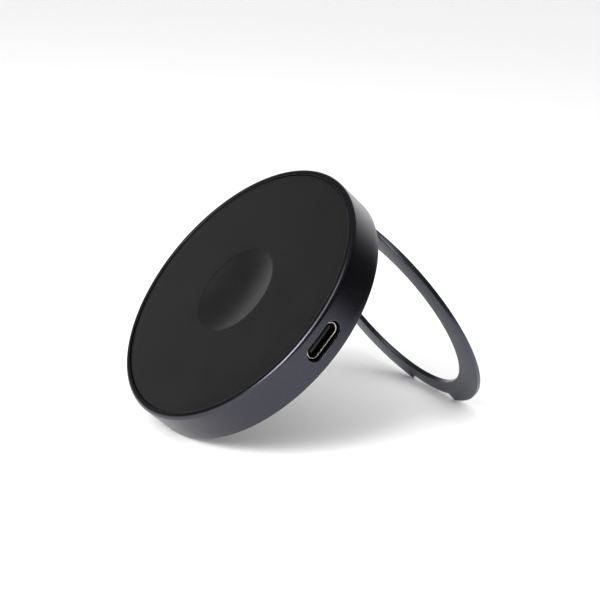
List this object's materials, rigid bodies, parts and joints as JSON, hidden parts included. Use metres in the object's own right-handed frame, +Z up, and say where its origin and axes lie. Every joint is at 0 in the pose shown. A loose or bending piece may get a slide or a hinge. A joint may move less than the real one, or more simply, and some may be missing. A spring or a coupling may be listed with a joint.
{
  "type": "magnetic wireless charger with ring stand",
  "caption": "Round magnetic wireless charging puck with a dished front, a side charging port and a fold-out ring stand hinged at the rear.",
  "frame": {"origin": "on the ground, below the centre of the box round the standing charger", "axes": "+Z up; +Y from the charging face back towards the open ring; +X towards the charging port's side, along the hinge pin"},
  "size_m": [0.066, 0.0794, 0.0559],
  "materials": {
    "housing_aluminium": "fine bead-blasted, anodised graphite",
    "ring_aluminium": "fine bead-blasted, anodised graphite",
    "cover_coating": "moulded plastic with a matte soft-touch coating",
    "rear_pad_rubber": "moulded silicone rubber, matte",
    "adhesive_film": "die-cut adhesive film",
    "carrier_plastic": "moulded, fine texture",
    "enamelled_copper": "enamelled copper litz wire",
    "tinned_copper": "enamelled copper, tinned ends",
    "ferrite": "sintered, matte",
    "nickel_plate": "nickel-plated magnets",
    "shield_steel": "rolled steel sheet",
    "board_laminate": "solder mask on glass fibre laminate",
    "chip_resin": "moulded epoxy",
    "ferrite_core": "pressed core, coated",
    "capacitor_ceramic": "fired ceramic",
    "bead_resin": "dipped epoxy",
    "gap_filler": "soft silicone pad",
    "screw_steel": "zinc-plated",
    "receptacle_steel": "deep-drawn stainless steel",
    "receptacle_plastic": "moulded black",
    "contact_gold": "gold-plated",
    "hinge_steel": "black oxide",
    "pin_steel": "ground",
    "washer_bronze": "sintered bronze",
    "rivet_steel": "set, black nickel"
  },
  "bodies": {
    "puck": {"housing": "housing_aluminium", "front_cover": "cover_coating", "cover_adhesive": "adhesive_film", "rear_pad": "rear_pad_rubber", "pad_adhesive": "adhesive_film", "carrier_frame": "carrier_plastic", "charging_coil": "enamelled_copper", "coil_leads": "tinned_copper", "ferrite_sheet": "ferrite", "alignment_magnets": "nickel_plate", "magnet_shield": "shield_steel", "thermistor": "bead_resin", "main_board": "board_laminate", "controller_chip": "chip_resin", "power_transistors": "chip_resin", "power_inductor": "ferrite_core", "resonant_capacitors": "capacitor_ceramic", "small_parts": "capacitor_ceramic", "thermal_pad": "gap_filler", "board_screws": "screw_steel", "usb_shell": "receptacle_steel", "usb_tongue": "receptacle_plastic", "usb_contacts": "contact_gold", "hinge_bracket": "hinge_steel", "hinge_pin": "pin_steel", "friction_washers": "washer_bronze", "hinge_screws": "screw_steel"},
    "stand": {"ring_stand": "ring_aluminium", "stand_knuckle": "hinge_steel", "knuckle_rivets": "rivet_steel"}
  },
  "joints": [
    {"name": "stand_hinge", "type": "hinge", "parent": "puck", "child": "stand", "pos_m": [0, 0.00617, 0.04656], "axis": [1, 0, 0], "range_deg": [-75, 15]}
  ]
}
